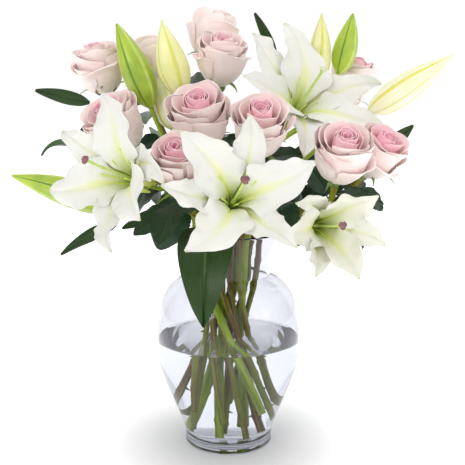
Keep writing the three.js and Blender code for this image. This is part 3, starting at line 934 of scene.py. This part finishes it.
def rose_sepals(number, base, axis, rng):
    """The green cup under the bloom and its five sepals, turned down and out."""
    first, second = across(axis)
    build = Build()
    path = base + axis * np.linspace(-7, 4, 9)[:, None] * MM
    tube(build, path, np.array([2.9, 3.8, 4.9, 5.8, 6.2, 6.2, 5.8, 5.0, 4.0]) * MM, 18)
    for i in range(5):
        out = spoke(first, second, FIFTH_TURN * i + rng.uniform(-0.2, 0.2))
        side = np.cross(axis, out)
        length = rng.uniform(24, 34) * MM
        droop = math.radians(rng.uniform(70, 150))
        rows, cols = 14, 7
        s = np.linspace(0, 1, rows)
        start = base + axis * 1 * MM + out * 4.5 * MM
        line = bent_line(start, length / (rows - 1), mix(0.2, droop, s), axis, out)
        half = (3.4 * np.sin(math.pi * np.clip(0.12 + 0.88 * s, 0, 1)) ** 0.8 + 0.25) * MM * (1 - 0.55 * s)
        t = np.linspace(-1, 1, cols)
        grid = line[:, None] + side * (half[:, None] * t[None])[..., None]
        sheet(build, grid, 0.6 * MM)
    finish(build.piece(f"rose_{number}_sepals"), "sepal", "leaf")


def leaflet(build, base, along, faces, length, width, rng, rows=40, teeth=1):
    """An oval, pointed leaf with a fold along its midrib, which droops toward its tip. Its edge is toothed
    unless teeth is 0."""
    along = unit(along)
    faces = unit(faces - along * (faces @ along))
    side = np.cross(along, faces)
    s = np.linspace(0, 1, rows)
    droop = rng.uniform(0.5, 1.0)
    bend = droop * s
    line = bent_line(base, length / (rows - 1), bend, along, -faces)
    normal = np.cos(bend)[:, None] * faces + np.sin(bend)[:, None] * along
    half = width / 2 * np.sin(math.pi * s**0.82) ** 0.75 + 0.7 * MM
    toothed = 1 + teeth * 0.055 * (((s * 17) % 1) - 0.5) * ramp(s, 0.04, 0.12)
    t = np.linspace(-1, 1, 19)
    out = (half * toothed)[:, None] * t[None]
    lift = (0.22 * np.abs(t)[None] * half[:, None]) + 0.6 * MM * np.sin(s * 21)[:, None] * (t**2)[None]
    grid = line[:, None] + side * out[..., None] + normal[:, None] * lift[..., None]
    sheet(build, grid, 0.45 * MM, tone=rng.uniform(0, 1))


def rose(number, rng):
    """A whole rose, drawn over its CAD solid. Gives back the line of its stem."""
    node = f"rose_{number}"
    points, _ = welded(node)
    rings = walk(node, 10, points[points[:, 2].argmin()])
    middle, wide = centres(rings), radii(rings)
    hip = next(i for i, width in enumerate(wide) if width > 1.5 * wide[0]) - 1
    base = middle[hip]
    axis = unit(middle[-1] - base)
    height = ((points - base) @ axis).max()
    line = resampled(middle[: hip + 1], ROSE_STEM_POINTS)
    rose_stem(number, line, wide[0], rng)
    share = 0.8 if number in SNUG_ROSES else 0.88
    rose_bloom(number, base, axis, height, share * wide.max(), rng)
    rose_sepals(number, base, axis, rng)
    return line


# ---------------------------------------------------------------- leaves


def lily_leaf(number):
    """A long smooth leaf in the place of its CAD blade, with a groove along its midrib."""
    node = f"leaf_{number}"
    rows, cols = 48, 15
    grid = refined(blade_grid(node, FRONT + 0.6 * UP), rows, cols)
    s = np.linspace(0, 1, rows)[:, None]
    t = np.linspace(-1, 1, cols)[None, :]
    normal = grid_normals(grid)
    width = np.linalg.norm(grid[:, -1] - grid[:, 0], axis=1).max()
    lift = 0.05 * width * np.abs(t) - 0.03 * width * np.exp(-((t / 0.1) ** 2))
    lift = lift + 0.02 * width * t**2 * np.sin(9 * s + 2 * t)
    grid = grid + normal * lift[..., None]
    build = Build()
    sheet(build, grid, 0.7 * MM, tone=number / 9)
    finish(build.piece(f"{node}_blade"), "lily_leaf", "leaf", node)


def rose_leaf(number, rng):
    """A toothed leaf in the place of its CAD blade."""
    node = f"leaf_{number}"
    grid = blade_grid(node, FRONT + 0.3 * UP)
    line = grid.mean(axis=1)
    middle = len(line) // 2
    width = np.linalg.norm(grid[:, -1] - grid[:, 0], axis=1).max()
    length = np.linalg.norm(np.diff(line, axis=0), axis=1).sum()
    over = grid[middle][-1] - grid[middle][0]
    faces = np.cross(over, line[middle + 1] - line[middle - 1])
    build = Build()
    leaflet(build, line[0], line[middle] - line[0], unit(faces), length, width, rng, rows=60)
    finish(build.piece(f"{node}_blade"), "rose_leaf", "leaf", node)


# ---------------------------------------------------------------- foliage between the flowers

CELL = 3 * MM
SPACE_FROM = np.array([-0.28, -0.24, -0.03])
SPACE_CELLS = np.array([190, 160, 180])
# Filler leaves stay between these corners, and spring from stems above this height, clear of the vase's rim.
FOLIAGE_FROM = np.array([-0.215, -0.17, 0])
FOLIAGE_TO = np.array([0.215, 0.138, 0.45])
FOLIAGE_ABOVE = 0.236
TRIES = 40  # for each leaf


def cells(points):
    """The cells of space that some points are in."""
    inside = np.clip((np.asarray(points) - SPACE_FROM) / CELL, 0, SPACE_CELLS - 1)
    return tuple(inside.astype(int).T)


def taken_space():
    """Every cell of space, true where the pieces made so far pass through it."""
    taken = np.zeros(SPACE_CELLS, bool)
    for piece in made_pieces:
        coords = np.empty(len(piece.data.vertices) * 3)
        piece.data.vertices.foreach_get("co", coords)
        taken[cells(coords.reshape(-1, 3))] = True
    return taken


def foliage(name, look, path, count, taken, rng):
    """Leaves that spring from a stem where there is room for them."""
    build = Build()
    above = path[path[:, 2] > FOLIAGE_ABOVE]
    made = 0
    for _ in range(count * TRIES):
        if made == count:
            break
        start = above[int(rng.uniform(0, 0.86) * len(above))]
        outward = unit(np.array([start[0], start[1], 0.0]) + 1e-6)
        along = outward * rng.uniform(0.3, 1.0) + UP * rng.uniform(-0.35, 0.9)
        along = unit(along + np.array([rng.uniform(-0.7, 0.7), rng.uniform(-0.7, 0.5), 0]))
        faces = unit(UP * 0.8 + FRONT * rng.uniform(0, 1.0) + np.array([rng.uniform(-0.5, 0.5), 0, 0]))
        length = rng.uniform(28, 54) * MM
        trial = Build()
        if look == "rose_leaf":
            width = length * rng.uniform(0.55, 0.68)
            leaflet(trial, start + along * 7 * MM, along, faces, length, width, rng)
        else:
            leaflet(trial, start + along * 5 * MM, along, faces, length * 1.3, length * 0.3, rng, teeth=0)
        points = trial.verts[0]
        inside = (points > FOLIAGE_FROM) & (points < FOLIAGE_TO)
        if not inside.all() or taken[cells(points)].any():
            continue
        tube(trial, start + along * np.linspace(0, 9 * MM, 6)[:, None], np.full(6, 0.8 * MM), 8)
        build.take(trial)
        for shift in (-CELL, 0, CELL):
            taken[cells(points + UP * shift)] = True
        made += 1
    if made:
        finish(build.piece(name), look, "leaf")


# ---------------------------------------------------------------- studio


def floor():
    """A pale sheet that glows though it is no lamp, as painted light. Round the vase it glows less and is
    painted a little darker, as a painted soft shadow.
    """
    mesh = bpy.data.meshes.new("floor")
    mesh.from_pydata([(-20, -6, 0), (20, -6, 0), (20, 40, 0), (-20, 40, 0)], [], [(0, 1, 2, 3)])
    plane = bpy.data.objects.new("floor", mesh)
    collection.objects.link(plane)
    look = Look("pale_floor", Roughness=0.7, Emission_Color=(1, 1, 1, 1))
    away = look.node("ShaderNodeVectorMath", {0: look.where()}, operation="LENGTH").outputs["Value"]
    # painted light: the floor glows, and glows less near the vase as a painted shadow
    look.set("Emission Strength", look.between(away, 0.04, 0.22, 0.05, 0.55))
    paper = look.blend(look.noise(3.0), (0.93, 0.93, 0.935), (0.95, 0.95, 0.955))
    # painted shadow: the floor's colour is darker near the vase
    look.set("Base Color", look.blend(look.between(away, 0.03, 0.14), (0.78, 0.78, 0.785), paper))
    mesh.materials.append(look.material)


def lamp(name, place, size, power):
    light = bpy.data.lights.new(name, "AREA")
    light.shape = "DISK"
    light.size = size
    light.energy = power
    ob = bpy.data.objects.new(name, light)
    ob.location = place
    way = np.array([0, 0, 0.3]) - np.array(place)
    ob.rotation_euler = (math.acos(-unit(way)[2]), 0, math.atan2(-way[0], way[1]))
    collection.objects.link(ob)


def studio():
    """A white backdrop behind, a dimmer room in front and dimmer still at the sides, and three soft lamps."""
    world = bpy.data.worlds.new("studio")
    bpy.context.scene.world = world
    world.use_nodes = True
    nodes = Nodes(world.node_tree)
    x, y, _ = nodes.parts(nodes.where("Generated"))
    behind = nodes.between(y, 0.15, 0.85, 0.77, 1.01)
    sides = nodes.between(nodes.calc("ABSOLUTE", x), 0.7, 0.95, 1.0, 0.4, shape="LINEAR")
    background = world.node_tree.nodes["Background"]
    nodes.feed(background.inputs["Strength"], nodes.times(behind, sides))
    background.inputs["Color"].default_value = (1, 1, 1, 1)
    lamp("key", (-1.0, -1.5, 1.3), 0.9, 9)
    lamp("fill", (1.5, -1.0, 0.9), 1.0, 4)
    lamp("top", (0.3, 0.3, 1.9), 1.4, 6)


def camera():
    """Stands in front of the vase, a little above its flowers, and looks slightly down."""
    data = bpy.data.cameras.new("camera")
    data.sensor_width = 36
    data.lens = 56.4
    ob = bpy.data.objects.new("camera", data)
    ob.location = (0.0043, -0.746, 0.340)
    ob.rotation_euler = (math.radians(90 - 8.86), 0, 0)
    collection.objects.link(ob)
    bpy.context.scene.camera = ob


# ---------------------------------------------------------------- the arrangement

bpy.context.scene.view_settings.view_transform = "Standard"
camera()
studio()
floor()
water(vase())

stalk_ends = {number: [] for number in LILIES}
lily_lines = []
for number in BUDS:
    look = "green_bud" if number in GREEN_BUDS else "cream_bud" if number in CREAM_BUDS else "pale_bud"
    slot = "green_bud" if number in GREEN_BUDS else "pale_bud"
    foot = bud(number, look, slot, random.Random(100 + number))
    stalk_ends[LILY_OF_BUD[number]].append(foot)
for number in LILIES:
    foot = lily(number, random.Random(number))
    lily_lines.append(lily_stem(number, [foot, *stalk_ends[number]], random.Random(20 + number)))
rose_lines = [rose(number, random.Random(40 + number)) for number in ROSES]
for number in LEAVES:
    if number in ROSE_LEAVES:
        rose_leaf(number, random.Random(60 + number))
    else:
        lily_leaf(number)

taken = taken_space()
for number, line in enumerate(rose_lines, 1):
    foliage(f"rose_{number}_leaves", "rose_leaf", line, 11, taken, random.Random(200 + number))
for number, line in enumerate(lily_lines, 1):
    foliage(f"lily_{number}_leaves", "lily_leaf", line, 8, taken, random.Random(300 + number))
